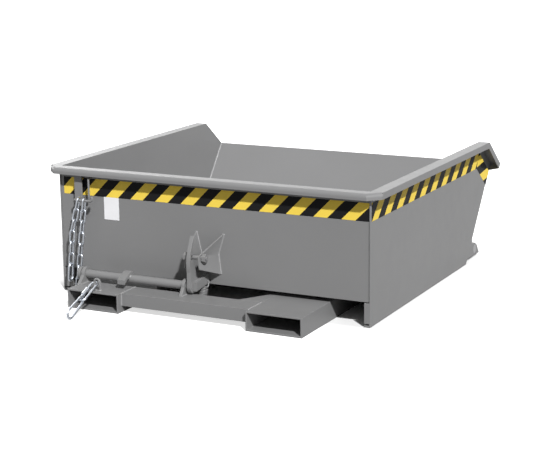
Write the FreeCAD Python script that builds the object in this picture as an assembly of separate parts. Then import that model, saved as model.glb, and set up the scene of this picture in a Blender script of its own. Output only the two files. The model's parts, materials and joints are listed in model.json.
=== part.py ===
"""Fork-truck tipping skip: an open steel trough that tips about a rear hinge on a base of two fork pockets.

Millimetres. X runs across, Y rearwards from the front wall's outer face, Z up from the ground.
The finished pieces are shifted along Y, so that the origin lies at the middle of the base.
"""
import FreeCAD, Part
import math
import os

Vector = FreeCAD.Vector
os.makedirs("parts", exist_ok=True)

# Trough
wall_width = 1000.0
sheet = 4.0
rim_height = 377.0
floor_height = 70.0
ground_gap = 1.0
foot_length = 770.0
rear_rake = 224.0
lip_drop = 86.0
peak_setback = 111.0
corner_stand = 3.0
flange_width = 15.0
flange_notch = 9.0

# Rim, folded outwards along the front and the two sides
rim_overhang = 33.0
rim_drop = 19.0
rim_sheet = 3.0
rim_bend = 12.0

# Hazard tape and label, stuck on the outside
tape_drop = 31.0
tape_height = 51.0
tape_thick = 0.6
tape_left_margin = 14.0
tape_right_margin = 4.0
tape_corner_gap = 4.0
label_left = 152.0
label_width = 51.0
label_height = 67.0
label_thick = 0.4

# Base frame
pocket_inner = 203.0
pocket_width = 170.0
pocket_height = 56.0
pocket_wall = 5.0
pocket_reach = 169.0
beam_setback = 19.0
beam_depth = 80.0
beam_height = 37.0
beam_wall = 4.0
gusset_along_beam = 71.0
gusset_along_pocket = 108.0
gusset_plate = 5.0
rear_beam_offset = 25.0
rear_beam_depth = 43.0
rear_beam_bottom = 7.0
rear_beam_height = 40.0
pad_width = 100.0
pad_length = 60.0
pad_inset = 120.0

# Rear hinge
hinge_reach = 42.0
hinge_height = 27.0
hinge_pin_radius = 14.0
hinge_plate = 12.0
hinge_eye_radius = 20.0
hinge_gap = 4.0
hinge_side_gap = 6.0
hinge_lug_seat = 58.0
pin_head_radius = 20.0
pin_head_length = 8.0
pin_head_gap = 1.0
washer_clearance = 0.3
running_clearance = 0.08
seat_clearance = 0.05

# Latch: release shaft with hook, spring arm and release lug
latch_offset = -14.0
latch_setback = 93.0
latch_height = 80.0
shaft_radius = 12.5
shaft_overhang = 15.0
hook_plate = 12.0
hook_boss_radius = 20.0
hook_mouth_below = 1.5
hook_mouth_above = 2.4
hook_nose_clear = 1.5
hook_notch_turn = math.radians(7.5)
hook_crown_rise = 62.0
hook_crown_lean = 5.0
hook_brow_rise = 35.0
hook_heel = 12.0
hook_stem_step = 15.0
arm_plate = 12.0
arm_wall_gap = 8.0
arm_height = 27.0
arm_rise = 9.0
cheek_plate = 10.0
cheek_eye_radius = 20.0
cheek_gap = 8.0
left_cheek_base = 88.0
right_cheek_toe = 36.0
collar_length = 10.0
collar_radius = 19.0
lug_width = 24.0
lug_plate = 9.0
lug_reach = 41.0
lug_middle = 224.0

# Striker and its two folded guides on the front wall
striker_radius = 6.0
striker_setback = 8.0
striker_rise = 92.0
guide_plate = 4.0
guide_overhang = 14.0
guide_fold_drop = 2.0
guide_tip_rise = 6.0
guide_top_rise = 59.0
guide_bottom_drop = 61.0
guide_tip_share = 0.62
right_guide_fold = 42.0
right_guide_tip = 22.0
right_guide_top = 61.0
right_guide_bottom = 49.0
left_guide_fold = 10.0
left_guide_tip = 12.0
left_guide_top = 24.0
left_guide_bottom = 18.0
nut_gap = 0.3
thread_end = 3.0
nut_flats = 22.0
nut_height = 10.0
head_height = 8.0

# Return spring, from the arm's end to an anchor on the front crossbeam
spring_wire = 4.0
spring_radius = 10.0
spring_pitch = 4.7
spring_turns = 7
spring_bend = 5.0
spring_tail = 9.0
spring_lead = 8.0
spring_lead_turn = math.radians(75.0)
spring_hole_clearance = 0.35
anchor_reach = 18.0
anchor_height = 18.0
anchor_plate = 8.0
anchor_margin = 9.0
arm_hole_margin = 7.0

# Chain and its hanger on the front wall
strap_left = 59.0
strap_width = 26.0
strap_plate = 5.0
strap_stand = 9.0
strap_top_drop = 21.0
strap_length = 141.0
peg_radius = 4.0
peg_front = 36.0
peg_drop = 91.0
peg_length = 62.0
peg_bend = 8.0
peg_upturn = 14.0
keeper_radius = 3.0
keeper_front = 24.0
keeper_offset = 116.0
keeper_bend = 7.0
keeper_length = 57.0
chain_wire_radius = 2.5
link_inner_width = 10.0
link_inner_length = 35.0
link_clearance = 0.6
chain_hang_clearance = 0.9
chain_floor_gap = 4.0
left_strand_start = 15.0
left_strand_knee = 9.0
left_strand_end = 25.0
right_strand_start = 35.0
right_strand_knee = 23.0
strand_knee_share = 0.69
end_link_wire_radius = 4.0
end_link_half_width = 10.5
end_link_half_length = 26.0

# Securing hook on the left pocket: staple eye, quick link and spring hook
eye_inset = 88.5
eye_setback = 22.0
eye_bar_radius = 3.5
eye_half_width = 9.0
eye_leg = 23.0
quick_wire_radius = 3.25
quick_half_width = 9.0
quick_length = 84.0
quick_slope = math.radians(24.0)
sleeve_radius = 6.25
sleeve_length = 28.0
sleeve_place = 0.55
loose_clearance = 0.4
hook_wire_radius = 3.75
hook_top_radius = 10.5
hook_bottom_radius = 14.0
hook_arc_distance = 58.0
gate_radius = 3.0
gate_gap = 0.5
gate_pin_radius = 1.5

# Values that follow from the sizes above
lip_depth = foot_length + rear_rake
lip_height = rim_height - lip_drop
peak_depth = lip_depth - peak_setback
half_width = wall_width / 2
inner_half = half_width - sheet
outer_half = half_width + rim_overhang
wall_top = rim_height - rim_sheet
pocket_outer = pocket_inner + pocket_width
pocket_middle = pocket_inner + pocket_width / 2
shaft_left = pocket_outer + shaft_overhang
latch_front = pocket_reach - latch_setback
striker_front = latch_front - striker_setback
guide_reach = striker_front + guide_overhang
beam_front = -(pocket_reach - beam_setback)
beam_rear = beam_front + beam_depth
beam_bottom = pocket_height - beam_height
rear_beam_front = foot_length + rear_beam_offset
rear_beam_rear = rear_beam_front + rear_beam_depth
hinge_depth = rear_beam_rear + hinge_reach
striker_height = floor_height + striker_rise
peg_height = rim_height - peg_drop
frame_lug_outer = inner_half - hinge_side_gap
frame_lug_inner = frame_lug_outer - hinge_plate
trough_lug_outer = frame_lug_inner - hinge_gap
trough_lug_inner = trough_lug_outer - hinge_plate
hook_left = latch_offset - hook_plate / 2
hook_right = latch_offset + hook_plate / 2
arm_right = hook_right + arm_plate
spring_middle = (hook_right + arm_right) / 2
rear_slope = math.atan2(lip_height, lip_depth - foot_length)
rear_along = (math.cos(rear_slope), math.sin(rear_slope))
rear_inwards = (-math.sin(rear_slope), math.cos(rear_slope))
drop_slope = math.atan2(rim_height - lip_height, lip_depth - peak_depth)


def block(x0, x1, y0, y1, z0, z1):
    return Part.makeBox(x1 - x0, y1 - y0, z1 - z0, Vector(x0, y0, z0))


def rod_x(radius, y, z, x0, x1):
    return Part.makeCylinder(radius, x1 - x0, Vector(x0, y, z), Vector(1, 0, 0))


def plate(points, thickness):
    """A flat polygon of points, made thick along a vector."""
    return Part.Face(Part.makePolygon(list(points) + [points[0]])).extrude(thickness)


def plate_yz(points, x0, x1):
    return plate([Vector(x0, y, z) for y, z in points], Vector(x1 - x0, 0, 0))


def plate_xy(points, z0, z1):
    return plate([Vector(x, y, z0) for x, y in points], Vector(0, 0, z1 - z0))


def mirrored(shape):
    return shape.mirror(Vector(0, 0, 0), Vector(1, 0, 0))


def hexagon_x(flats, y, z, x0, x1):
    radius = flats / math.sqrt(3)
    corners = [math.radians(60 * i + 30) for i in range(6)]
    return plate_yz([(y + radius * math.cos(a), z + radius * math.sin(a)) for a in corners], x0, x1)


def swept(edges, radius):
    """A round bar along tangent edges."""
    start = edges[0].Vertexes[0].Point
    path = Part.Wire(edges)
    tangent = edges[0].tangentAt(edges[0].FirstParameter)
    section = Part.Wire([Part.Circle(start, tangent, radius).toShape()])
    return path.makePipeShell([section], True, False)


def bent_bar(points, radius, bend):
    """A round bar through points, with every corner bent to one radius."""
    edges = []
    start = points[0]
    for before, corner, after in zip(points, points[1:], points[2:]):
        back = (before - corner).normalize()
        ahead = (after - corner).normalize()
        half_turn = (math.pi - back.getAngle(ahead)) / 2
        leg = bend * math.tan(half_turn)
        inwards = (back + ahead).normalize()
        middle = corner + inwards * (bend / math.cos(half_turn) - bend)
        edges.append(Part.LineSegment(start, corner + back * leg).toShape())
        edges.append(Part.Arc(corner + back * leg, middle, corner + ahead * leg).toShape())
        start = corner + ahead * leg
    edges.append(Part.LineSegment(start, points[-1]).toShape())
    return swept(edges, radius)


def ring_link(half_width, half_length, wire_radius):
    """A closed oblong link about the origin, long along Z and flat in XZ, by centre line sizes."""
    straight = half_length - half_width
    sides = []
    for sign in (1, -1):
        foot = Vector(sign * half_width, 0, -straight)
        sides.append(Part.makeCylinder(wire_radius, 2 * straight, foot))
    ends = []
    for sign in (1, -1):
        arc = Part.Arc(Vector(half_width, 0, sign * straight), Vector(0, 0, sign * half_length),
                       Vector(-half_width, 0, sign * straight)).toShape()
        ends.append(swept([arc], wire_radius))
    return sides[0].multiFuse(sides[1:] + ends).removeSplitter()


def rim_line(drop, front):
    """The rim's top line seen from the side, moved inwards by drop: front, peak and lip."""
    along = (math.cos(drop_slope), -math.sin(drop_slope))
    inwards = (-math.sin(drop_slope), -math.cos(drop_slope))
    end = (lip_depth + drop * inwards[0], lip_height + drop * inwards[1])
    back = (rim_height - drop - end[1]) / -along[1]
    peak = (end[0] - back * along[0], rim_height - drop)
    return [(front, rim_height - drop), peak, end]


def rim_band(upper, lower, front, x0, x1):
    return plate_yz(rim_line(upper, front) + rim_line(lower, front)[::-1], x0, x1)


def rear_line(height):
    """Depth of the slanted rear edge at a height."""
    return foot_length + height * (lip_depth - foot_length) / lip_height


# Trough plates
front_wall = block(-inner_half, inner_half, 0, sheet, floor_height, wall_top)
floor_end = (rear_line(floor_height), floor_height)
floor_top = floor_height + sheet
inner_start = (floor_end[0] + sheet * rear_inwards[0], floor_end[1] + sheet * rear_inwards[1])
climb = (floor_top - inner_start[1]) / rear_along[1]
floor_join = (inner_start[0] + climb * rear_along[0], floor_top)
floor_plate = plate_yz([(sheet, floor_height), floor_end, floor_join, (sheet, floor_top)],
                       -inner_half, inner_half)
lip = (lip_depth, lip_height)
lip_inner = (lip[0] + sheet * rear_inwards[0], lip[1] + sheet * rear_inwards[1])
rear_wall = plate_yz([floor_end, lip, lip_inner, floor_join], -inner_half, inner_half)


def side_plate():
    """The right side plate, with its front and bottom edges folded inwards."""
    top = rim_line(rim_sheet, -corner_stand)
    outline = [(-corner_stand, ground_gap), (rear_line(ground_gap), ground_gap)] + top[::-1]
    skin = plate_yz(outline, inner_half, half_width)
    fold_inner = inner_half - flange_width
    fold_top = floor_height - 2 * ground_gap
    front_fold = block(fold_inner, inner_half, -corner_stand, sheet - corner_stand,
                       ground_gap + flange_notch, fold_top)
    foot_fold = block(fold_inner, inner_half, -corner_stand, foot_length - flange_notch,
                      ground_gap, ground_gap + sheet)
    return skin.multiFuse([front_fold, foot_fold]).removeSplitter()


right_side_plate = side_plate()


# Rim
def rim_shell(inset, top, bend):
    """The front rim's block with its two cut corners, shrunk by inset and rounded along its top edge."""
    corner = inset * (math.sqrt(2) - 1)
    outline = [(-half_width + corner, inset - rim_overhang), (half_width - corner, inset - rim_overhang),
               (outer_half - inset, corner), (outer_half - inset, sheet),
               (inset - outer_half, sheet), (inset - outer_half, corner)]
    solid = plate_xy(outline, rim_height - rim_drop, top)
    outer_edges = []
    for edge in solid.Edges:
        middle = edge.CenterOfMass
        if abs(middle.z - top) < 0.01 and middle.y < -0.1:
            outer_edges.append(edge)
    return solid.makeFillet(bend, outer_edges)


front_rim = rim_shell(0, rim_height, rim_bend).cut(rim_shell(rim_sheet, wall_top, rim_bend - rim_sheet))
rim_flange = rim_band(0, rim_sheet, sheet, inner_half, outer_half)
rim_edge = rim_band(rim_sheet, rim_drop, sheet, outer_half - rim_sheet, outer_half)


def rim_end_point(x, drop):
    """A point on the rim's square end by the pouring lip, at a drop below its top."""
    depth, height = rim_line(drop, 0)[2]
    return Vector(x, depth, height)


rim_end = plate([rim_end_point(half_width, 0), rim_end_point(outer_half, 0),
                 rim_end_point(outer_half, rim_drop), rim_end_point(half_width, tape_drop - rim_sheet)],
                Vector(0, -math.cos(drop_slope), math.sin(drop_slope)) * rim_sheet)
right_rim = rim_flange.multiFuse([rim_edge, rim_end]).removeSplitter()

# Tape and label
tape_top = rim_height - tape_drop
tape_bottom = tape_top - tape_height
front_tape = block(tape_left_margin - half_width, half_width - tape_right_margin, -tape_thick, 0,
                   tape_bottom, tape_top)
right_tape = rim_band(tape_drop, tape_drop + tape_height, tape_corner_gap,
                      half_width, half_width + tape_thick)
label_x = label_left - half_width
label = block(label_x, label_x + label_width, -label_thick, 0, tape_bottom - label_height, tape_bottom)

# Base frame
pocket = block(pocket_inner, pocket_outer, -pocket_reach, rear_beam_front, 0, pocket_height)
pocket_bore = block(pocket_inner + pocket_wall, pocket_outer - pocket_wall, -pocket_reach, rear_beam_front,
                    pocket_wall, pocket_height - pocket_wall)
right_pocket = pocket.cut(pocket_bore)
beam = block(-pocket_inner, pocket_inner, beam_front, beam_rear, beam_bottom, pocket_height)
beam_bore = block(-pocket_inner, pocket_inner, beam_front + beam_wall, beam_rear - beam_wall,
                  beam_bottom + beam_wall, pocket_height - beam_wall)
front_crossbeam = beam.cut(beam_bore)
rear_beam_top = rear_beam_bottom + rear_beam_height
rear_beam = block(-frame_lug_inner, frame_lug_inner, rear_beam_front, rear_beam_rear,
                  rear_beam_bottom, rear_beam_top)
rear_bore = block(-frame_lug_inner, frame_lug_inner,
                  rear_beam_front + beam_wall, rear_beam_rear - beam_wall,
                  rear_beam_bottom + beam_wall, rear_beam_top - beam_wall)
rear_crossbeam = rear_beam.cut(rear_bore)
right_gusset = plate_xy([(pocket_inner, beam_rear), (pocket_inner, beam_rear + gusset_along_pocket),
                         (pocket_inner - gusset_along_beam, beam_rear)],
                        pocket_height - gusset_plate, pocket_height)
pads = []
for side in (-pocket_middle, pocket_middle):
    for start in (pad_inset, rear_beam_front - pad_inset - pad_length):
        pads.append(block(side - pad_width / 2, side + pad_width / 2, start, start + pad_length,
                          pocket_height, floor_height))

# Rear hinge
hinge_bottom = hinge_height - hinge_eye_radius
hinge_top = hinge_height + hinge_eye_radius
frame_lug = plate_yz([(rear_beam_front, hinge_bottom),
                      (hinge_depth + 2 * hinge_eye_radius, hinge_bottom),
                      (hinge_depth + hinge_eye_radius, hinge_top - hinge_eye_radius / 2),
                      (hinge_depth, hinge_top + ground_gap),
                      (rear_beam_front, hinge_top + 5 * ground_gap)], frame_lug_inner, frame_lug_outer)
pin_hole = rod_x(hinge_pin_radius + seat_clearance, hinge_depth, hinge_height, 0, half_width)
right_frame_lug = frame_lug.cut(pin_hole)
lug_front = hinge_depth - hinge_eye_radius
lug_front_height = (lug_front - foot_length) * math.tan(rear_slope)
lug_rear_height = lug_front_height + hinge_lug_seat
lug_plate_shape = plate_yz([(lug_front, hinge_height), (lug_front, lug_front_height),
                            (rear_line(lug_rear_height), lug_rear_height),
                            (hinge_depth + hinge_eye_radius, hinge_height)],
                           trough_lug_inner, trough_lug_outer)
lug_eye = rod_x(hinge_eye_radius, hinge_depth, hinge_height, trough_lug_inner, trough_lug_outer)
lug_hole = rod_x(hinge_pin_radius + running_clearance, hinge_depth, hinge_height, 0, half_width)
right_hinge_lug = lug_plate_shape.fuse(lug_eye).removeSplitter().cut(lug_hole)
head_end = trough_lug_inner - pin_head_gap
pin_shank = rod_x(hinge_pin_radius, hinge_depth, hinge_height, head_end, frame_lug_outer)
pin_head = rod_x(pin_head_radius, hinge_depth, hinge_height, head_end - pin_head_length, head_end)
right_hinge_pin = pin_shank.fuse(pin_head).removeSplitter()
washer = rod_x(pin_head_radius, hinge_depth, hinge_height,
               trough_lug_outer + washer_clearance, frame_lug_inner).cut(pin_hole)

# Latch
latch_y = -latch_front


def latch_edge(kind, *points):
    """A line or three-point arc of the hook's outline, in YZ about the shaft."""
    placed = [Vector(hook_left, latch_y + y, latch_height + z) for y, z in points]
    return (Part.Arc(*placed) if kind == "arc" else Part.LineSegment(*placed)).toShape()


def polar(radius, angle):
    """A point about the shaft, with the angle from upright towards the wall."""
    return (radius * math.sin(angle), radius * math.cos(angle))


def hook_plate_shape():
    """The hook: a boss round the shaft, a stem, and a nose over the notch that takes the striker."""
    striker_y = latch_front - striker_front
    striker_z = striker_height - latch_height
    reach = math.hypot(striker_y, striker_z)
    mouth_low = reach - striker_radius - hook_mouth_below
    mouth_high = reach + striker_radius + hook_mouth_above
    nose_angle = math.atan2(striker_y, striker_z) - (striker_radius + hook_nose_clear) / reach
    back_angle = nose_angle - hook_notch_turn
    nose = polar(mouth_high, nose_angle)
    back_high = polar(mouth_high, back_angle)
    back_low = polar(mouth_low, back_angle)
    chin = polar(mouth_low, nose_angle)
    boss = hook_boss_radius
    heel = (boss + hook_heel, hook_heel)
    knee = (chin[0] + hook_stem_step, reach / 2)
    top = (nose[0] + hook_crown_lean, reach + hook_crown_rise)
    brow = (-boss / 3, reach + hook_brow_rise)
    cheek = (-boss * 0.95, reach)
    shin = (-boss * 0.9, reach / 2)
    edges = [
        latch_edge("arc", (-boss, 0), (0, -boss), (boss, 0)),
        latch_edge("line", (boss, 0), heel),
        latch_edge("line", heel, knee),
        latch_edge("line", knee, chin),
        latch_edge("arc", chin, polar(mouth_low, (nose_angle + back_angle) / 2), back_low),
        latch_edge("line", back_low, back_high),
        latch_edge("arc", back_high, polar(mouth_high, (nose_angle + back_angle) / 2), nose),
        latch_edge("line", nose, top),
        latch_edge("line", top, brow),
        latch_edge("arc", brow, cheek, shin),
        latch_edge("line", shin, (-boss, 0)),
    ]
    return Part.Face(Part.Wire(edges)).extrude(Vector(hook_plate, 0, 0))


shaft_hole = rod_x(shaft_radius + running_clearance, latch_y, latch_height, -half_width, half_width)
shaft_seat = rod_x(shaft_radius + seat_clearance, latch_y, latch_height, -half_width, half_width)
right_cheek_right = hook_left - cheek_gap
right_cheek_left = right_cheek_right - cheek_plate
left_cheek_left = -pocket_outer
left_cheek_right = left_cheek_left + cheek_plate
release_shaft = rod_x(shaft_radius, latch_y, latch_height, -shaft_left, hook_right)
latch_hook = hook_plate_shape().cut(shaft_seat)


def bearing_cheek(toe, heel, x0, x1):
    """A bearing plate that stands on the frame and holds the shaft in its rounded top."""
    side = cheek_eye_radius * 0.95
    foot = plate_yz([(toe, pocket_height), (heel, pocket_height), (latch_y + side, latch_height),
                     (latch_y - side, latch_height)], x0, x1)
    eye = rod_x(cheek_eye_radius, latch_y, latch_height, x0, x1)
    below = block(x0, x1, toe, beam_rear + 2 * cheek_eye_radius + beam_depth, 0, pocket_height)
    return foot.fuse(eye).removeSplitter().cut(below).cut(shaft_hole)


left_cheek = bearing_cheek(latch_y - left_cheek_base / 2, latch_y + left_cheek_base / 2,
                           left_cheek_left, left_cheek_right)
right_cheek = bearing_cheek(latch_y - right_cheek_toe, beam_rear, right_cheek_left, right_cheek_right)
collar_end = collar_length - shaft_left
collar = rod_x(collar_radius, latch_y, latch_height, -shaft_left, collar_end).cut(shaft_seat)

arm_end = -arm_wall_gap
arm_root = latch_y - shaft_radius / 2
arm_low = latch_height - arm_height / 2
arm_outline = [(arm_root, arm_low), (arm_end, arm_low + arm_rise),
               (arm_end, arm_low + arm_rise + arm_height), (arm_root, arm_low + arm_height)]
arm_hole_y = arm_end - arm_hole_margin
arm_hole_z = arm_low + arm_rise + arm_hole_margin
spring_hole = spring_wire / 2 + spring_hole_clearance
arm_hole = rod_x(spring_hole, arm_hole_y, arm_hole_z, hook_right, arm_right)
spring_arm = plate_yz(arm_outline, hook_right, arm_right).cut(arm_hole)

lug_top = latch_height + shaft_radius
lug_drop = lug_reach * 0.42
release_lug = plate_yz([(latch_y + shaft_radius / 2, lug_top),
                        (latch_y + shaft_radius / 2, lug_top + lug_plate),
                        (latch_y - shaft_radius / 2, lug_top + lug_plate),
                        (latch_y - lug_reach, lug_top + lug_plate - lug_drop),
                        (latch_y - lug_reach, lug_top - lug_drop - lug_plate / 2),
                        (latch_y - shaft_radius - lug_plate, lug_top - lug_plate),
                        (latch_y - shaft_radius, latch_height)],
                       -lug_middle - lug_width / 2, -lug_middle + lug_width / 2).cut(shaft_seat)

# Striker and guides


def latch_guide(side, fold, tip, top, bottom):
    """A folded guide plate on the front wall, by its distances from the hook's middle plane."""
    at = [latch_offset + side * distance for distance in (fold, tip, top, bottom)]
    on_wall = Vector(at[0], 0, striker_height - guide_fold_drop)
    nose = Vector(at[1], -guide_reach, striker_height + guide_tip_rise)
    upper = Vector(at[2], 0, striker_height + guide_top_rise)
    lower = Vector(at[3], 0, striker_height - guide_bottom_drop)
    nose_low = nose + (lower - on_wall) * guide_tip_share
    thick = Vector(side * guide_plate, 0, 0)
    folded = plate([on_wall, nose, upper], thick).fuse(plate([on_wall, nose, nose_low, lower], thick))
    hole = rod_x(striker_radius + seat_clearance, -striker_front, striker_height, -half_width, half_width)
    return folded.removeSplitter().cut(hole)


right_guide = latch_guide(1, right_guide_fold, right_guide_tip, right_guide_top, right_guide_bottom)
left_guide = latch_guide(-1, left_guide_fold, left_guide_tip, left_guide_top, left_guide_bottom)
nut_column = hexagon_x(nut_flats, -striker_front, striker_height, -half_width, half_width)
striker_left = left_guide.common(nut_column).BoundBox.XMin - nut_gap
nut_left = right_guide.common(nut_column).BoundBox.XMax + nut_gap
striker_end = nut_left + nut_height + thread_end
striker_pin = rod_x(striker_radius, -striker_front, striker_height, striker_left, striker_end).fuse(
    hexagon_x(nut_flats, -striker_front, striker_height, striker_left - head_height, striker_left))
striker_nut = hexagon_x(nut_flats, -striker_front, striker_height, nut_left, nut_left + nut_height).cut(
    rod_x(striker_radius + seat_clearance, -striker_front, striker_height, nut_left, striker_end))

# Return spring


def tangent_arc(start, tangent, end):
    """An arc from start along a unit tangent to end, or a line where the two agree."""
    chord = end - start
    sideways = chord - tangent * chord.dot(tangent)
    if sideways.Length < 1e-6:
        return Part.LineSegment(start, end).toShape()
    normal = sideways.normalize()
    radius = chord.dot(chord) / (2 * chord.dot(normal))
    half_turn = math.atan2(chord.dot(normal), chord.dot(tangent))
    sagitta = radius * (1 - math.cos(half_turn))
    middle = start + normal * sagitta + tangent * (radius * math.sin(half_turn))
    return Part.Arc(start, middle, end).toShape()


def biarc(start, start_tangent, end, end_tangent):
    """Two arcs that join smoothly, between two points with unit tangents."""
    chord = end - start
    both = start_tangent + end_tangent
    a = both.dot(both) - 4
    b = -2 * chord.dot(both)
    c = chord.dot(chord)
    reach = (-b - math.sqrt(b * b - 4 * a * c)) / (2 * a)
    first = start + start_tangent * reach
    last = end - end_tangent * reach
    joint = (first + last) * 0.5
    return [tangent_arc(start, start_tangent, joint), tangent_arc(joint, (last - first).normalize(), end)]


def spring_edges(length):
    """The wire's centre line, up Z from a leg through the lower hole to a leg through the upper hole."""
    upwards = Vector(0, 0, 1)
    turn = spring_turns * 2 * math.pi - 2 * spring_lead_turn
    rise = turn / (2 * math.pi) * spring_pitch
    low = (length - rise) / 2
    steps = math.ceil(turn / (math.pi / 2))
    slope = math.atan2(spring_pitch, 2 * math.pi * spring_radius)

    def on_coil(share):
        angle = spring_lead_turn + share * turn
        point = Vector(spring_radius * math.cos(angle), spring_radius * math.sin(angle), low + share * rise)
        flat = math.cos(slope)
        return point, Vector(-flat * math.sin(angle), flat * math.cos(angle), math.sin(slope))

    side = Vector(spring_radius, 0, 0)
    corner = spring_bend / math.sqrt(2)
    shoulder = spring_radius - spring_bend
    bend_mid = Vector(shoulder + corner, 0, spring_bend - corner)
    foot = Vector(shoulder, 0, 0)
    up_start = side + upwards * spring_bend
    up_end = side + upwards * (low - spring_lead)
    edges = [Part.LineSegment(Vector(-spring_tail, 0, 0), foot).toShape(),
             Part.Arc(foot, bend_mid, up_start).toShape(),
             Part.LineSegment(up_start, up_end).toShape()]
    edges += biarc(up_end, upwards, *on_coil(0))
    for step in range(steps):
        edges += biarc(*on_coil(step / steps), *on_coil((step + 1) / steps))
    down_start = side + upwards * (length - low + spring_lead)
    down_end = side + upwards * (length - spring_bend)
    edges += biarc(*on_coil(1), down_start, upwards)
    head = Vector(shoulder, 0, length)
    edges += [Part.LineSegment(down_start, down_end).toShape(),
              Part.Arc(down_end, Vector(bend_mid.x, 0, length - bend_mid.z), head).toShape(),
              Part.LineSegment(head, Vector(-spring_tail, 0, length)).toShape()]
    return edges


def least_self_gap(edges, wire):
    """Least free gap of a wire to itself, between points more than three wires apart along it."""
    points = []
    for edge in edges:
        count = max(2, int(edge.Length / (wire / 4)))
        points += edge.discretize(count)[:-1]
    travel = [0.0]
    for before, after in zip(points, points[1:]):
        travel.append(travel[-1] + before.distanceToPoint(after))
    least = math.inf
    for i, point in enumerate(points):
        for j in range(i + 1, len(points)):
            if travel[j] - travel[i] > 3 * wire:
                least = min(least, point.distanceToPoint(points[j]))
    return least - wire


anchor_y = beam_rear + anchor_reach
anchor = plate_yz([(beam_rear, anchor_height - anchor_margin),
                   (anchor_y + anchor_margin, anchor_height - anchor_margin),
                   (anchor_y + anchor_margin, anchor_height + anchor_margin),
                   (beam_rear, anchor_height + 2 * anchor_margin)],
                  spring_middle - anchor_plate / 2, spring_middle + anchor_plate / 2)
spring_anchor = anchor.cut(rod_x(spring_hole, anchor_y, anchor_height, -half_width, half_width))
spring_length = math.hypot(arm_hole_y - anchor_y, arm_hole_z - anchor_height)
spring_lean = math.atan2(arm_hole_y - anchor_y, arm_hole_z - anchor_height)
spring_path = spring_edges(spring_length)
print("return_spring least gap to itself: %.2f mm" % least_self_gap(spring_path, spring_wire))
return_spring = swept(spring_path, spring_wire / 2)
return_spring.rotate(Vector(0, 0, 0), Vector(1, 0, 0), -math.degrees(spring_lean))
return_spring.translate(Vector(spring_middle, anchor_y, anchor_height))

# Chain hanger
strap_x = strap_left - half_width
strap_top = rim_height - strap_top_drop
strap_front = -strap_stand - strap_plate
strap_end = strap_x + strap_width
strap_bar = block(strap_x, strap_end, strap_front, -strap_stand, strap_top - strap_length, strap_top)
strap_return = block(strap_x, strap_end, -strap_stand, 0, strap_top - strap_plate, strap_top)
hanger_strap = strap_bar.fuse(strap_return).removeSplitter()
peg_x = strap_x + strap_width / 2
peg_tip = peg_x + peg_length
chain_peg = bent_bar([Vector(peg_x, strap_front, peg_height), Vector(peg_x, -peg_front, peg_height),
                      Vector(peg_tip, -peg_front, peg_height),
                      Vector(peg_tip, -peg_front, peg_height + peg_upturn)], peg_radius, peg_bend)
keeper_x = keeper_offset - half_width
keeper_z = strap_top - strap_plate
keeper_rod = bent_bar([Vector(keeper_x, 0, keeper_z), Vector(keeper_x, -keeper_front, keeper_z),
                       Vector(keeper_x, -keeper_front, keeper_z - keeper_length)],
                      keeper_radius, keeper_bend)

# Chain, hung over the peg in two strands
link_half_width = link_inner_width / 2 + chain_wire_radius
link_half_length = link_inner_length / 2 + chain_wire_radius
chain_link = ring_link(link_half_width, link_half_length, chain_wire_radius)
link_pitch = link_inner_length - link_clearance


def hung_ring(ring, quarter_turn, along, centre):
    """A copy of a ring, hung at centre with its length along the strand."""
    placed = ring.copy()
    if quarter_turn:
        placed.rotate(Vector(0, 0, 0), Vector(0, 0, 1), 90)
    placed.rotate(Vector(0, 0, 0), Vector(0, 1, 0), math.degrees(math.atan2(-along.x, -along.z)))
    placed.translate(centre)
    return placed


def chain_strand(start_x, knee, end_x, lowest):
    """Links from the peg down to the lowest height, each turned a quarter from the last.
    The strand leans from start_x to the knee's place and on to end_x. Also gives its last link's place."""
    knee_x, knee_z = knee
    upper = Vector(knee_x - start_x, 0, knee_z - peg_height).normalize()
    lower = Vector(end_x - knee_x, 0, chain_floor_gap - knee_z).normalize()
    hung = peg_radius + chain_wire_radius + chain_hang_clearance
    centre = Vector(start_x, -peg_front, peg_height) + upper * (link_half_length - hung)
    links = []
    while centre.z - link_half_length - chain_wire_radius > lowest:
        along = upper if centre.z > knee_z else lower
        last = centre
        links.append(hung_ring(chain_link, len(links) % 2 == 0, along, centre))
        centre = centre + along * (link_pitch / 2)
        along = upper if centre.z > knee_z else lower
        centre = centre + along * (link_pitch / 2)
    return links, last, along


end_ring = ring_link(end_link_half_width, end_link_half_length, end_link_wire_radius)
end_link_room = chain_floor_gap + 2 * end_link_half_length
knee_height = peg_height * strand_knee_share
left_knee = (peg_x - left_strand_knee, knee_height)
right_knee = (peg_x + right_strand_knee, knee_height)
left_strand, last, along = chain_strand(peg_x + left_strand_start, left_knee, peg_x - left_strand_end,
                                        end_link_room)
right_strand = chain_strand(peg_x + right_strand_start, right_knee, peg_x, chain_floor_gap)[0]
end_link_drop = (link_half_length + end_link_half_length - chain_wire_radius - end_link_wire_radius
                 - link_clearance)
chain_end_link = hung_ring(end_ring, len(left_strand) % 2 == 0, along, last + along * end_link_drop)

# Staple eye, quick link and spring hook on the left pocket
eye_left = eye_inset - pocket_outer - eye_half_width
eye_right = eye_left + 2 * eye_half_width
eye_y = eye_setback - pocket_reach
eye_bend = pocket_height + eye_leg
eye_feet = [Vector(x, eye_y, pocket_height) for x in (eye_left, eye_right)]
eye_shoulders = [Vector(x, eye_y, eye_bend) for x in (eye_left, eye_right)]
eye_crown = Vector(eye_left + eye_half_width, eye_y, eye_bend + eye_half_width)
eye_edges = [
    Part.LineSegment(eye_feet[0], eye_shoulders[0]).toShape(),
    Part.Arc(eye_shoulders[0], eye_crown, eye_shoulders[1]).toShape(),
    Part.LineSegment(eye_shoulders[1], eye_feet[1]).toShape(),
]
pocket_eye = swept(eye_edges, eye_bar_radius)

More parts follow.
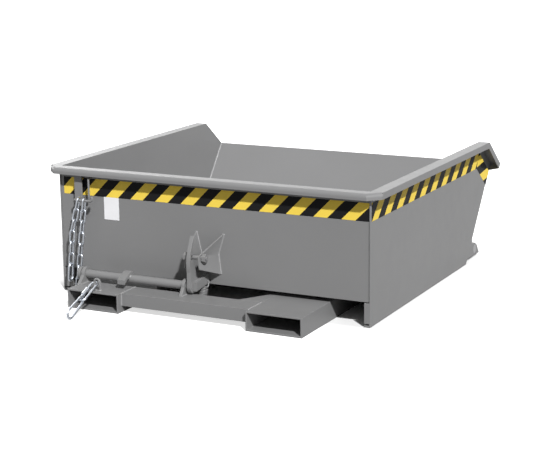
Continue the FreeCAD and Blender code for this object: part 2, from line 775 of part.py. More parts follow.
# The quick link goes round the eye's left leg and slopes down over the pocket's front edge.
up_link = Vector(0, math.cos(quick_slope), math.sin(quick_slope))
off_link = Vector(0, -math.sin(quick_slope), math.cos(quick_slope))
quick_x = eye_left + (eye_half_width - quick_half_width) / 2
pocket_edge = Vector(quick_x, -pocket_reach, pocket_height)
over_edge = pocket_edge + off_link * (sleeve_radius + loose_clearance)
round_leg = eye_y + eye_bar_radius + quick_wire_radius + loose_clearance
quick_rear = over_edge + up_link * ((round_leg - over_edge.y) / up_link.y)
quick_front = quick_rear - up_link * quick_length
quick_link = ring_link(quick_half_width, quick_length / 2, quick_wire_radius)
quick_link.rotate(Vector(0, 0, 0), Vector(1, 0, 0), 90 + math.degrees(quick_slope))
quick_link.translate((quick_rear + quick_front) * 0.5)
sleeve_start = quick_rear - up_link * (quick_length * sleeve_place + sleeve_length / 2)
sleeve_foot = sleeve_start - Vector(quick_half_width, 0, 0)
link_sleeve = Part.makeCylinder(sleeve_radius, sleeve_length, sleeve_foot, up_link).cut(
    Part.makeCylinder(quick_wire_radius + running_clearance, sleeve_length, sleeve_foot, up_link))

# The spring hook hangs in a YZ plane from the quick link's front end and leans out to the ground.
hung_gap = hook_top_radius - hook_wire_radius - quick_wire_radius - loose_clearance
hook_fall = quick_front.z - hook_bottom_radius - hook_wire_radius - loose_clearance
hook_lean = math.acos(hook_fall / (hung_gap + hook_arc_distance))
hook_down = Vector(0, -math.sin(hook_lean), -math.cos(hook_lean))
hook_out = Vector(0, -math.cos(hook_lean), math.sin(hook_lean))
hook_top_centre = quick_front + hook_down * hung_gap
hook_bottom_centre = hook_top_centre + hook_down * hook_arc_distance
flare = math.asin((hook_bottom_radius - hook_top_radius) / hook_arc_distance)


def hook_point(centre, radius, angle):
    """A point on one of the hook's end arcs, with the angle from outwards towards downwards."""
    return centre + hook_out * (radius * math.cos(angle)) + hook_down * (radius * math.sin(angle))


def spring_hook():
    """The hook's open ring, its gate, and the pin that the gate turns on."""
    top_out = hook_point(hook_top_centre, hook_top_radius, -flare)
    top_in = hook_point(hook_top_centre, hook_top_radius, math.pi + flare)
    bottom_out = hook_point(hook_bottom_centre, hook_bottom_radius, -flare)
    bottom_in = hook_point(hook_bottom_centre, hook_bottom_radius, math.pi + flare)
    along_gate = (bottom_out - top_out).normalize()
    gate_length = (bottom_out - top_out).Length
    nose = top_out + along_gate * (gate_length * 0.18)
    root = top_out + along_gate * (gate_length * 0.88)
    crown = hook_point(hook_top_centre, hook_top_radius, -math.pi / 2)
    toe = hook_point(hook_bottom_centre, hook_bottom_radius, math.pi / 2)
    edges = [
        Part.LineSegment(nose, top_out).toShape(),
        Part.Arc(top_out, crown, top_in).toShape(),
        Part.LineSegment(top_in, bottom_in).toShape(),
        Part.Arc(bottom_in, toe, bottom_out).toShape(),
        Part.LineSegment(bottom_out, root).toShape(),
    ]
    ring = swept(edges, hook_wire_radius)
    sideways = Vector(1, 0, 0)
    clear_radius = gate_radius + gate_gap
    pivot = root - along_gate * clear_radius
    wire = 2 * hook_wire_radius
    side = pivot - sideways * wire
    pin = Part.makeCylinder(gate_pin_radius, wire, pivot - sideways * hook_wire_radius, sideways)
    hole = Part.makeCylinder(gate_pin_radius + seat_clearance, 2 * wire, side, sideways)
    loose_hole = Part.makeCylinder(gate_pin_radius + running_clearance, 2 * wire, side, sideways)
    knuckle = Part.makeCylinder(gate_radius, 2 * wire, side, sideways)
    clearing = Part.makeCylinder(clear_radius, wire + gate_gap / 2, side, sideways)
    bar_end = root - along_gate * (4 * clear_radius)
    bar = Part.makeCylinder(gate_radius, 4 * clear_radius, bar_end, along_gate)
    other_side = Part.makeCylinder(3 * clear_radius, wire + gate_gap / 2,
                                   pivot - sideways * (gate_gap / 2), sideways)
    neck = Part.makeCylinder(gate_radius, clear_radius, pivot, along_gate)
    tongue = neck.fuse(bar.common(knuckle)).cut(other_side)
    body = ring.fuse(tongue).removeSplitter().cut(hole)
    gate_start = nose + along_gate * gate_gap
    gate_bar = Part.makeCylinder(gate_radius, (pivot - gate_start).Length, gate_start, along_gate)
    gate = gate_bar.fuse(bar.common(knuckle)).removeSplitter().cut(clearing).cut(loose_hole)
    return body, gate, pin, pivot


hook_body, hook_gate, gate_pin, gate_pivot = spring_hook()

pieces = {
    "front_wall": front_wall,
    "floor_plate": floor_plate,
    "rear_wall": rear_wall,
    "left_side_plate": mirrored(right_side_plate),
    "right_side_plate": right_side_plate,
    "front_rim": front_rim,
    "left_rim": mirrored(right_rim),
    "right_rim": right_rim,
    "front_hazard_tape": front_tape,
    "left_hazard_tape": mirrored(right_tape),
    "right_hazard_tape": right_tape,
    "blank_label": label,
    "left_latch_guide": left_guide,
    "right_latch_guide": right_guide,
    "striker_pin": striker_pin.removeSplitter(),
    "striker_nut": striker_nut,
    "left_hinge_lug": mirrored(right_hinge_lug),
    "right_hinge_lug": right_hinge_lug,
    "hanger_strap": hanger_strap,
    "chain_peg": chain_peg,
    "keeper_rod": keeper_rod,
    "left_fork_pocket": mirrored(right_pocket),
    "right_fork_pocket": right_pocket,
    "front_crossbeam": front_crossbeam,
    "rear_crossbeam": rear_crossbeam,
    "left_corner_gusset": mirrored(right_gusset),
    "right_corner_gusset": right_gusset,
    "left_bearing_cheek": left_cheek,
    "right_bearing_cheek": right_cheek,
    "spring_anchor": spring_anchor,
    "left_frame_lug": mirrored(right_frame_lug),
    "right_frame_lug": right_frame_lug,
    "left_hinge_pin": mirrored(right_hinge_pin),
    "right_hinge_pin": right_hinge_pin,
    "hinge_washers": Part.makeCompound([mirrored(washer), washer]),
    "rest_pads": Part.makeCompound(pads),
    "pocket_eye": pocket_eye,
    "release_shaft": release_shaft,
    "shaft_collar": collar,
    "latch_hook": latch_hook,
    "spring_arm": spring_arm,
    "release_lug": release_lug,
    "return_spring": return_spring,
    "safety_chain": Part.makeCompound(left_strand + right_strand),
    "chain_end_link": chain_end_link,
    "quick_link": quick_link,
    "link_sleeve": link_sleeve,
    "hook_body": hook_body,
    "hook_gate": hook_gate,
    "gate_pin": gate_pin,
}

# The hook's tip reaches furthest forwards and the pouring lip furthest back.
front_end = hook_bottom_centre.y - hook_bottom_radius - hook_wire_radius
to_origin = Vector(0, -(front_end + lip_depth) / 2, 0)
for node, shape in pieces.items():
    placed = shape.copy()
    placed.translate(to_origin)
    placed.exportStep("parts/%s.step" % node)
print("origin shift %.3f, gate pivot %.3f %.3f" % (to_origin.y, gate_pivot.y + to_origin.y, gate_pivot.z))
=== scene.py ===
# %% [markdown]
# A low tipping skip for a fork truck: folded and welded steel plate under one coat of grey paint, with
# striped tape under its rim, a sprung hook that holds it down, and a safety chain. The plates, pins and
# links are solids that are ready and in place. They could be drawn again as meshes here, but then two sets
# of sizes would drift apart. So this lesson keeps them, and adds what a solid lacks: finishes, weld beads,
# softened edges and light.

# %% Load the solids
import json
import math

import bmesh
import bpy
from mathutils import Matrix, Vector


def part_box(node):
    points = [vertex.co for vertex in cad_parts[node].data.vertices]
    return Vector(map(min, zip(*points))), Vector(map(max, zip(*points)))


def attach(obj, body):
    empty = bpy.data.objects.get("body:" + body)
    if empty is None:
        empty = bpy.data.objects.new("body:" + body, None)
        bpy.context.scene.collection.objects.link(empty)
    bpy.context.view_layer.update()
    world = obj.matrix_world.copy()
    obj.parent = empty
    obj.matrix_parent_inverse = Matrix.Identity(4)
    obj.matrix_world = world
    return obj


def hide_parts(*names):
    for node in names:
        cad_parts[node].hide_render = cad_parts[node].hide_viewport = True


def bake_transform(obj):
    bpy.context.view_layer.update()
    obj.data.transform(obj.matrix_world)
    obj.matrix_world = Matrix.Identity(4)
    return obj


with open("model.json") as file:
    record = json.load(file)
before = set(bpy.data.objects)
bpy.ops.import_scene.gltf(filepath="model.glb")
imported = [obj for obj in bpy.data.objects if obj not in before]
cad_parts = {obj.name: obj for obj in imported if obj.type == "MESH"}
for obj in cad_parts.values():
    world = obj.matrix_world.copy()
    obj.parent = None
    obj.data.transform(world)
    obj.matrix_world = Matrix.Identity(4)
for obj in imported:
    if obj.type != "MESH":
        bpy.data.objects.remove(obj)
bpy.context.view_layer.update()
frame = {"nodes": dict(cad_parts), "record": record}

MM = 0.001
slot_of = {part["node"]: part["material_slot"] for part in frame["record"]["subparts"]}

# %% [markdown]
# The camera stands to the right of the latch side and looks slightly down, as a person does from a few
# steps away. It could be aimed with a Track To constraint, but that gives no roll. Three angles and a
# place, worked out from the skip's own corners, give the matrix directly.

# %% Camera
camera_place = Vector((2.037, -3.978, 1.169))
camera_azimuth = math.radians(26.72)
camera_elevation = math.radians(12.61)
camera_roll = math.radians(-0.65)
camera_lens = 98.38
camera_sight = 200

back = Vector((math.sin(camera_azimuth) * math.cos(camera_elevation),
               -math.cos(camera_azimuth) * math.cos(camera_elevation),
               math.sin(camera_elevation)))
level_right = Vector((math.cos(camera_azimuth), math.sin(camera_azimuth), 0))
level_up = back.cross(level_right)
right = level_right * math.cos(camera_roll) + level_up * math.sin(camera_roll)
up = level_up * math.cos(camera_roll) - level_right * math.sin(camera_roll)

camera = bpy.data.objects.new("camera", bpy.data.cameras.new("camera"))
camera.data.lens = camera_lens
camera.data.clip_end = camera_sight
camera.matrix_world = Matrix.Translation(camera_place) @ Matrix((right, up, back)).transposed().to_4x4()
bpy.context.collection.objects.link(camera)
bpy.context.scene.camera = camera
print("camera is", round(camera_place.length, 2), "m from the middle of the base")

# %% [markdown]
# Materials are small node trees, and every one of them starts the same way: place a node, set its sockets,
# join it to the next. Four helpers keep that short. They could hide more, but a learner should still see
# each link.

# %% Helpers for node trees
mix_colours = (6, 7)
mix_result = 2


def add(tree, kind, values=None, **settings):
    """A new node, with its settings and the plain values of its sockets."""
    made = tree.nodes.new(kind)
    for name, value in settings.items():
        setattr(made, name, value)
    for name, value in (values or {}).items():
        made.inputs[name].default_value = value
    return made


def maths(tree, operation, first, second=None):
    """A Math node on two sockets or numbers, and its result."""
    made = tree.nodes.new("ShaderNodeMath")
    made.operation = operation
    for socket, value in zip(made.inputs, (first, second)):
        if isinstance(value, (int, float)):
            socket.default_value = value
        elif value is not None:
            tree.links.new(value, socket)
    return made.outputs[0]


def mixed(tree, factor, first, second):
    """Two colours mixed by a socket's value."""
    made = add(tree, "ShaderNodeMix", data_type="RGBA")
    tree.links.new(factor, made.inputs["Factor"])
    for place, colour in zip(mix_colours, (first, second)):
        if isinstance(colour, tuple):
            made.inputs[place].default_value = colour
        else:
            tree.links.new(colour, made.inputs[place])
    return made.outputs[mix_result]


def new_material(name):
    """An empty material, its node tree and its Principled BSDF."""
    material = bpy.data.materials.new(name)
    material.use_nodes = True
    return material, material.node_tree, material.node_tree.nodes["Principled BSDF"]


print("helpers: add, maths, mixed, new_material")

# %% [markdown]
# The skip stands on a pale studio floor in front of white. A curved backdrop could be modelled, but a very
# wide floor that meets a white sky looks the same from every side. The floor lies a hair below the skip, so
# that the two never share a plane.

# %% Floor
floor_reach = 60.0
floor_gap = 0.5 * MM
floor_tiles = 8

floor_mesh = bpy.data.meshes.new("floor")
floor_grid = bmesh.new()
bmesh.ops.create_grid(floor_grid, x_segments=floor_tiles, y_segments=floor_tiles, size=floor_reach)
bmesh.ops.translate(floor_grid, verts=floor_grid.verts, vec=(0, 0, -floor_gap))
floor_grid.to_mesh(floor_mesh)
floor_grid.free()
floor = bpy.data.objects.new("floor", floor_mesh)
bpy.context.collection.objects.link(floor)
print("floor", 2 * floor_reach, "m wide")

# %% [markdown]
# A white floor bounces so much light that the paint above it would look washed out. So this one is paler
# for the camera than for the light, and a Light Path node tells which of the two is looking. For the camera
# alone it also shines, but only outside the skip's footprint, and more with each step away from it. That
# way it fades to white round the skip and keeps the shade below it.

# %% Floor paint
bounced_white = 0.28
mirrored_white = 0.55
seen_white = 0.96
floor_roughness = 0.9
apron_lift = 0.65
apron_ends = 75 * MM


def even_grey(value):
    """An opaque grey of one value."""
    return (value, value, value, 1)


def seen_directly(tree):
    """One where a ray comes from the camera, a mirror or glass, and zero elsewhere."""
    path = add(tree, "ShaderNodeLightPath")
    seen = maths(tree, "MAXIMUM", path.outputs["Is Camera Ray"], path.outputs["Is Glossy Ray"])
    return maths(tree, "MAXIMUM", seen, path.outputs["Is Transmission Ray"])


floor_paint, tree, shader = new_material("floor_paint")
by_camera = add(tree, "ShaderNodeLightPath").outputs["Is Camera Ray"]
soft_white = mixed(tree, seen_directly(tree), even_grey(bounced_white), even_grey(mirrored_white))
white = mixed(tree, by_camera, soft_white, even_grey(seen_white))
tree.links.new(white, shader.inputs["Base Color"])
shader.inputs["Roughness"].default_value = floor_roughness
shader.inputs["Specular IOR Level"].default_value = 0.0
shader.inputs["Emission Color"].default_value = even_grey(1)
place = add(tree, "ShaderNodeTexCoord")
axes = add(tree, "ShaderNodeSeparateXYZ")
tree.links.new(place.outputs["Object"], axes.inputs["Vector"])
wall_foot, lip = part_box("front_wall")[0].y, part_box("right_side_plate")[1]
beside = maths(tree, "SUBTRACT", maths(tree, "ABSOLUTE", axes.outputs["X"]), lip.x)
ahead = maths(tree, "SUBTRACT", wall_foot, axes.outputs["Y"])
behind = maths(tree, "SUBTRACT", axes.outputs["Y"], lip.y)
outside = maths(tree, "MAXIMUM", maths(tree, "MAXIMUM", ahead, behind), beside)
apron = add(tree, "ShaderNodeMapRange", {"From Max": apron_ends, "To Max": apron_lift})
tree.links.new(outside, apron.inputs["Value"])
lift = maths(tree, "MULTIPLY", by_camera, apron.outputs["Result"])
tree.links.new(lift, shader.inputs["Emission Strength"])
floor_mesh.materials.append(floor_paint)
print("floor fades to white over", round(apron_ends / MM), "mm")

# %% [markdown]
# The sky is one even white. A picture of a studio could light the skip too, but it would put shapes into
# the zinc that no one can explain. The sky shines at full white only where the camera or a reflection sees
# it, and far weaker as a light, so that it doesn't wash out the paint.

# %% Sky
sky_light = 0.23

world = bpy.data.worlds.new("studio")
bpy.context.scene.world = world
world.use_nodes = True
sky = world.node_tree.nodes["Background"]
sky.inputs["Color"].default_value = even_grey(1)
strength = maths(world.node_tree, "MAXIMUM", seen_directly(world.node_tree), sky_light)
world.node_tree.links.new(strength, sky.inputs["Strength"])
print("sky light", sky_light)

# %% [markdown]
# The key light comes from the upper right in front of the skip. It is high enough that the rim's shadow
# ends half way down the tape, which tells the eye how far the rim stands out. An area lamp would blur that
# line away, so a sun with a small disc is used. Two weaker suns with wide discs come from behind: one gives
# the rims a pale edge, and one keeps the back and the left side from going dark. The sky fills the rest.

# %% Lights
key_strength = 3.9
key_disc = math.radians(2.5)
key_from = Vector((1.02, -1.0, 1.25))
rim_strength = 0.3
rim_from = Vector((-0.25, 0.8, 0.55))
back_strength = 1.3
back_from = Vector((-1.0, 0.75, 0.5))
soft_disc = math.radians(40.0)


def distant_light(name, strength, disc, comes_from):
    """A sun lamp that shines from a direction, with a disc of some width."""
    lamp = bpy.data.objects.new(name, bpy.data.lights.new(name, "SUN"))
    lamp.data.energy = strength
    lamp.data.angle = disc
    lamp.rotation_euler = comes_from.to_track_quat("Z", "Y").to_euler()
    bpy.context.collection.objects.link(lamp)
    print(name, "elevation", round(math.degrees(math.asin(comes_from.normalized().z))), "degrees")


distant_light("key_light", key_strength, key_disc, key_from)
distant_light("rim_light", rim_strength, soft_disc, rim_from)
distant_light("back_light", back_strength, soft_disc, back_from)
bpy.context.scene.view_settings.view_transform = "Standard"

# %% [markdown]
# Sprayed paint is never one flat colour: the coat is a little thicker here and thinner there, its gloss
# drifts, and it dries with a fine skin like orange peel. The plates, the weld beads and the paper of the
# label all need such a drift at other sizes, so it is one node group, and each material gives it its own
# values. Everything is read from Object coordinates, in metres, so the pattern stays the same size on a
# small lug and a long wall.

# %% Node group: uneven coat


def new_group(name, inputs, outputs):
    """An empty shader node group with named sockets, and its input and output nodes."""
    group = bpy.data.node_groups.new(name, "ShaderNodeTree")
    for socket, (kind, value) in inputs.items():
        made = group.interface.new_socket(socket, in_out="INPUT", socket_type=kind)
        made.default_value = value
    for socket, kind in outputs.items():
        group.interface.new_socket(socket, in_out="OUTPUT", socket_type=kind)
    return group, group.nodes.new("NodeGroupInput"), group.nodes.new("NodeGroupOutput")


def noise(tree, scale, detail):
    """A noise of Object coordinates. Its scale is a number or a socket, in ripples to the metre."""
    place = add(tree, "ShaderNodeTexCoord")
    made = add(tree, "ShaderNodeTexNoise", {"Detail": detail})
    tree.links.new(place.outputs["Object"], made.inputs["Vector"])
    if isinstance(scale, (int, float)):
        made.inputs["Scale"].default_value = scale
    else:
        tree.links.new(scale, made.inputs["Scale"])
    return made.outputs["Fac"]


noise_middle = 0.5


def swing(tree, value, middle, spread):
    """A noise value, which lies near a half, spread evenly about a middle."""
    centred = maths(tree, "SUBTRACT", value, noise_middle)
    return maths(tree, "ADD", middle, maths(tree, "MULTIPLY", centred, spread))


drift_finer = 7.0
uneven_coat, coat_in, coat_out = new_group(
    "uneven_coat",
    {"Colour": ("NodeSocketColor", even_grey(0.5)),
     "Patch Scale": ("NodeSocketFloat", 3.0),
     "Tone": ("NodeSocketFloat", 0.1),
     "Gloss Middle": ("NodeSocketFloat", 0.4),
     "Gloss Spread": ("NodeSocketFloat", 0.2),
     "Peel Scale": ("NodeSocketFloat", 600.0)},
    {"Colour": "NodeSocketColor", "Roughness": "NodeSocketFloat", "Height": "NodeSocketFloat"})
patches = noise(uneven_coat, coat_in.outputs["Patch Scale"], detail=4)
shade = add(uneven_coat, "ShaderNodeHueSaturation")
uneven_coat.links.new(coat_in.outputs["Colour"], shade.inputs["Color"])
uneven_coat.links.new(swing(uneven_coat, patches, 1.0, coat_in.outputs["Tone"]), shade.inputs["Value"])
uneven_coat.links.new(shade.outputs["Color"], coat_out.inputs["Colour"])
drift_scale = maths(uneven_coat, "MULTIPLY", coat_in.outputs["Patch Scale"], drift_finer)
drift = noise(uneven_coat, drift_scale, detail=3)
gloss = swing(uneven_coat, drift, coat_in.outputs["Gloss Middle"], coat_in.outputs["Gloss Spread"])
uneven_coat.links.new(gloss, coat_out.inputs["Roughness"])
peel = noise(uneven_coat, coat_in.outputs["Peel Scale"], detail=2)
uneven_coat.links.new(peel, coat_out.inputs["Height"])
print("group:", uneven_coat.name, [socket.name for socket in uneven_coat.interface.items_tree])

# %% [markdown]
# The grey coat is a satin workshop paint. It is mixed a shade darker than it looks, because the white
# studio adds its own reflection. The weld beads carry the same paint, but their grey is mixed a little
# lighter, a painted highlight for the light that their convex ripples catch. They also shine more, and
# their skin is finer and rougher.

# %% Painted materials


def show_skin(tree, shader, skin, bump, depth):
    """Join the colour, the roughness and, as a bump, the height of a group to a shader."""
    relief = add(tree, "ShaderNodeBump", {"Strength": bump, "Distance": depth})
    tree.links.new(skin.outputs["Height"], relief.inputs["Height"])
    tree.links.new(skin.outputs["Colour"], shader.inputs["Base Color"])
    tree.links.new(skin.outputs["Roughness"], shader.inputs["Roughness"])
    tree.links.new(relief.outputs["Normal"], shader.inputs["Normal"])


def coated(name, colour, values, bump, depth, shine):
    """A material that shows the uneven coat, with its skin as a bump."""
    material, tree, shader = new_material(name)
    coat = add(tree, "ShaderNodeGroup", {"Colour": colour, **values}, node_tree=uneven_coat)
    show_skin(tree, shader, coat, bump, depth)
    shader.inputs["Specular IOR Level"].default_value = shine
    return material


satin = 0.3
bead_shine = 0.55
grey = (0.235, 0.235, 0.237, 1)
# painted highlight: the beads' grey is mixed lighter than the plates' grey, for the light their ripples catch
bead_highlight_grey = (0.31, 0.31, 0.313, 1)
label_white = (0.92, 0.92, 0.94, 1)
skip_paint = coated("skip_grey_paint", grey,
                    {"Patch Scale": 3.0, "Tone": 0.14, "Gloss Middle": 0.36, "Gloss Spread": 0.16,
                     "Peel Scale": 420.0}, bump=0.25, depth=0.15 * MM, shine=satin)
weld_paint = coated("painted_weld", bead_highlight_grey,
                    {"Patch Scale": 60.0, "Tone": 0.35, "Gloss Middle": 0.27, "Gloss Spread": 0.2,
                     "Peel Scale": 900.0}, bump=0.35, depth=0.15 * MM, shine=bead_shine)
label_paper = coated("blank_label_paper", label_white,
                     {"Patch Scale": 38.0, "Tone": 0.12, "Gloss Middle": 0.55, "Gloss Spread": 0.2,
                      "Peel Scale": 55.0}, bump=0.3, depth=0.5 * MM, shine=satin)
print("painted:", skip_paint.name, weld_paint.name, label_paper.name)

# %% [markdown]
# Chain, links and hook are bright zinc with a faint blue, and the pins and washers of the hinge are plain
# steel. Both are metal whose gloss breaks up into small crystals, so they share a group of cells and fine
# grain. Two separate trees would do as well, but then a change to the crystals would have to be made twice.

# %% Node group and materials: bare metal
rub_scale = 140.0
grain_scale = 1500.0
grain_bump = 0.3
grain_depth = 0.05 * MM

bare_metal, metal_in, metal_out = new_group(
    "bare_metal",
    {"Colour": ("NodeSocketColor", even_grey(0.6)),
     "Crystal Scale": ("NodeSocketFloat", 300.0),
     "Tone": ("NodeSocketFloat", 0.2),
     "Gloss Middle": ("NodeSocketFloat", 0.3),
     "Gloss Spread": ("NodeSocketFloat", 0.2)},
    {"Colour": "NodeSocketColor", "Roughness": "NodeSocketFloat", "Height": "NodeSocketFloat"})
cells = add(bare_metal, "ShaderNodeTexVoronoi")
cells_place = add(bare_metal, "ShaderNodeTexCoord")
bare_metal.links.new(cells_place.outputs["Object"], cells.inputs["Vector"])
bare_metal.links.new(metal_in.outputs["Crystal Scale"], cells.inputs["Scale"])
crystal = add(bare_metal, "ShaderNodeSeparateColor")
bare_metal.links.new(cells.outputs["Color"], crystal.inputs["Color"])
metal_shade = add(bare_metal, "ShaderNodeHueSaturation")
bare_metal.links.new(metal_in.outputs["Colour"], metal_shade.inputs["Color"])
metal_tone = swing(bare_metal, crystal.outputs["Red"], 1.0, metal_in.outputs["Tone"])
bare_metal.links.new(metal_tone, metal_shade.inputs["Value"])
bare_metal.links.new(metal_shade.outputs["Color"], metal_out.inputs["Colour"])
rub = noise(bare_metal, rub_scale, detail=4)
metal_gloss = swing(bare_metal, rub, metal_in.outputs["Gloss Middle"], metal_in.outputs["Gloss Spread"])
bare_metal.links.new(metal_gloss, metal_out.inputs["Roughness"])
bare_metal.links.new(noise(bare_metal, grain_scale, detail=2), metal_out.inputs["Height"])


def bare(name, colour, values):
    """A metal material with the crystals of the group."""
    material, tree, shader = new_material(name)
    skin = add(tree, "ShaderNodeGroup", {"Colour": colour, **values}, node_tree=bare_metal)
    show_skin(tree, shader, skin, grain_bump, grain_depth)
    shader.inputs["Metallic"].default_value = 1.0
    return material


zinc = bare("bright_zinc", (0.60, 0.63, 0.68, 1), {"Crystal Scale": 420.0, "Tone": 0.3, "Gloss Middle": 0.34})
plain_steel = bare("plain_steel", (0.50, 0.50, 0.51, 1), {"Crystal Scale": 260.0, "Gloss Middle": 0.38})
print("metals:", zinc.name, plain_steel.name)

# %% [markdown]
# The tape is glossy film with slanted yellow and black bars. The bars could be separate strips of mesh, but
# they are printed on one film, so they are a pattern: the distance along the tape minus the distance up it,
# cut into equal steps. The front and the sides measure that distance on other axes, so the cutting is a
# group.

# %% Node group: slanted bars
front_pitch = 83.7 * MM
side_pitch = 88.0 * MM
yellow_share = 0.495
tape_yellow = (0.98, 0.72, 0.105, 1)
tape_black = (0.016, 0.016, 0.017, 1)
fade_scale = 9.0
fade_spread = 0.16
film_gloss_scale = 30.0
film_gloss = 0.30
film_gloss_spread = 0.2
film_wave_scale = 18.0

slanted_bars, bars_in, bars_out = new_group(
    "slanted_bars",
    {"Along": ("NodeSocketFloat", 0.0), "Start": ("NodeSocketFloat", 0.0),
     "Pitch": ("NodeSocketFloat", 0.1), "Width": ("NodeSocketFloat", 0.05)},
    {"Colour": "NodeSocketColor", "Roughness": "NodeSocketFloat", "Height": "NodeSocketFloat"})
from_start = maths(slanted_bars, "SUBTRACT", bars_in.outputs["Along"], bars_in.outputs["Start"])
in_bar = maths(slanted_bars, "FLOORED_MODULO", from_start, bars_in.outputs["Pitch"])
is_yellow = maths(slanted_bars, "LESS_THAN", in_bar, bars_in.outputs["Width"])
faded = noise(slanted_bars, fade_scale, detail=3)
ink = add(slanted_bars, "ShaderNodeHueSaturation")
slanted_bars.links.new(mixed(slanted_bars, is_yellow, tape_black, tape_yellow), ink.inputs["Color"])
slanted_bars.links.new(swing(slanted_bars, faded, 1.0, fade_spread), ink.inputs["Value"])
slanted_bars.links.new(ink.outputs["Color"], bars_out.inputs["Colour"])
handled = noise(slanted_bars, film_gloss_scale, detail=3)
film_roughness = swing(slanted_bars, handled, film_gloss, film_gloss_spread)
slanted_bars.links.new(film_roughness, bars_out.inputs["Roughness"])
slanted_bars.links.new(noise(slanted_bars, film_wave_scale, detail=1), bars_out.inputs["Height"])
print("bars:", yellow_share, "of the tape is yellow")

# %% [markdown]
# A node's corners come from its own mesh: the point that lies farthest along a direction is the corner that
# faces that way. This saves copying sizes from the drawing. On the sides the tape turns down with the rim
# near the pouring lip, so the bars there are measured along the sloping edge, and the nearer edge wins.

# %% Tape materials


def corner(node, *direction):
    """The corner of a solid that lies farthest along a direction."""
    way = Vector(direction)
    return max((vertex.co for vertex in frame["nodes"][node].data.vertices), key=way.dot).copy()


def film(name, along, start, pitch):
    """A tape material. A function of the tree, X, Y and Z gives the distance along the tape."""
    material, tree, shader = new_material(name)
    place = add(tree, "ShaderNodeTexCoord")
    axes = add(tree, "ShaderNodeSeparateXYZ")
    tree.links.new(place.outputs["Object"], axes.inputs["Vector"])
    sizes = {"Start": start, "Pitch": pitch, "Width": pitch * yellow_share}
    bars = add(tree, "ShaderNodeGroup", sizes, node_tree=slanted_bars)
    tree.links.new(along(tree, *axes.outputs), bars.inputs["Along"])
    show_skin(tree, shader, bars, film_bump, film_wave_depth)
    shader.inputs["Specular IOR Level"].default_value = film_shine
    return material


film_shine = 0.04
film_bump = 0.15
film_wave_depth = 0.4 * MM
toward_peak = (0, 0.35, 1)
rim_peak = corner("right_rim", *toward_peak)
rim_lip = corner("right_rim", 0, 1, 0)
slope = Vector((rim_lip.y - rim_peak.y, rim_lip.z - rim_peak.z)).normalized()


def along_front(tree, x, y, z):
    """To the right, less the height, so that the bars lean."""
    return maths(tree, "SUBTRACT", x, z)


def along_side(tree, x, y, z):
    """Level until the peak of the rim, then down its slope, whichever edge is nearer."""
    forward = maths(tree, "SUBTRACT", y, rim_peak.y)
    upward = maths(tree, "SUBTRACT", z, rim_peak.z)
    below_level = maths(tree, "MULTIPLY", upward, -1.0)
    across = maths(tree, "MULTIPLY", forward, slope.y)
    below_slope = maths(tree, "SUBTRACT", across, maths(tree, "MULTIPLY", upward, slope.x))
    down_slope = maths(tree, "ADD", maths(tree, "MULTIPLY", forward, slope.x),
                       maths(tree, "MULTIPLY", upward, slope.y))
    on_level = maths(tree, "LESS_THAN", below_level, below_slope)
    level = maths(tree, "ADD", forward, below_level)
    sloping = maths(tree, "ADD", maths(tree, "ADD", down_slope, below_slope), slope_step)
    gain = maths(tree, "MULTIPLY", on_level, maths(tree, "SUBTRACT", level, sloping))
    return maths(tree, "ADD", sloping, gain)


front_bar_start = 117.9 * MM
side_bar_start = -797.0 * MM
slope_step = 21.5 * MM
front_film = film("front_tape_film", along_front, front_bar_start, front_pitch)
side_film = film("side_tape_film", along_side, side_bar_start, side_pitch)
print("rim turns down at", [round(value, 3) for value in rim_peak])

# %% [markdown]
# Each solid now gets its finish from the slot that the record gives it. Only the two kinds of tape need a
# look at the name.

# %% Finishes for the solids
finishes = {"grey_paint": skip_paint, "label": label_paper, "plain_steel": plain_steel, "zinc": zinc}

for name, solid in frame["nodes"].items():
    if slot_of[name] == "hazard_tape":
        finish = front_film if name.startswith("front") else side_film
    else:
        finish = finishes[slot_of[name]]
    solid.data.materials.clear()
    solid.data.materials.append(finish)
print("painted solids:", sum(slot == "grey_paint" for slot in slot_of.values()))

# %% [markdown]
# No cut plate has a perfectly sharp edge: the saw's burr is filed off and the paint draws back from it, so
# every edge catches a thin line of light. The solids' meshes aren't changed for that. Modifiers round their
# edges when they are shown: Weld joins the loose triangles, a planar Decimate makes each flat one face,
# since slivers that run to the edge of a hole would fold over, Bevel rounds the edges, and Weighted Normal
# keeps the flats even. Bevel's Loop Slide is off, because round holes it lets new points slide past each
# other into tiny folds.

# %% Softened edges
edge_width = 0.9 * MM
edge_segments = 2
merge_gap = 0.01 * MM
flat_within = math.radians(0.5)
sharp_past = math.radians(35)
flat_weight = 100


def soften_edges(solid):
    """Modifiers that round the edges of a solid, in the order in which they run."""
    weld = solid.modifiers.new("join", "WELD")
    weld.merge_threshold = merge_gap
    flats = solid.modifiers.new("flats", "DECIMATE")
    flats.decimate_type = "DISSOLVE"
    flats.angle_limit = flat_within
    soften = solid.modifiers.new("soften", "BEVEL")
    soften.width = edge_width
    soften.segments = edge_segments
    soften.limit_method = "ANGLE"
    soften.angle_limit = sharp_past
    soften.loop_slide = False
    even = solid.modifiers.new("even", "WEIGHTED_NORMAL")
    even.weight = flat_weight


for name, solid in frame["nodes"].items():
    if slot_of[name] == "grey_paint" and name != "return_spring":
        soften_edges(solid)
print("softened edges are", edge_width / MM, "mm wide")
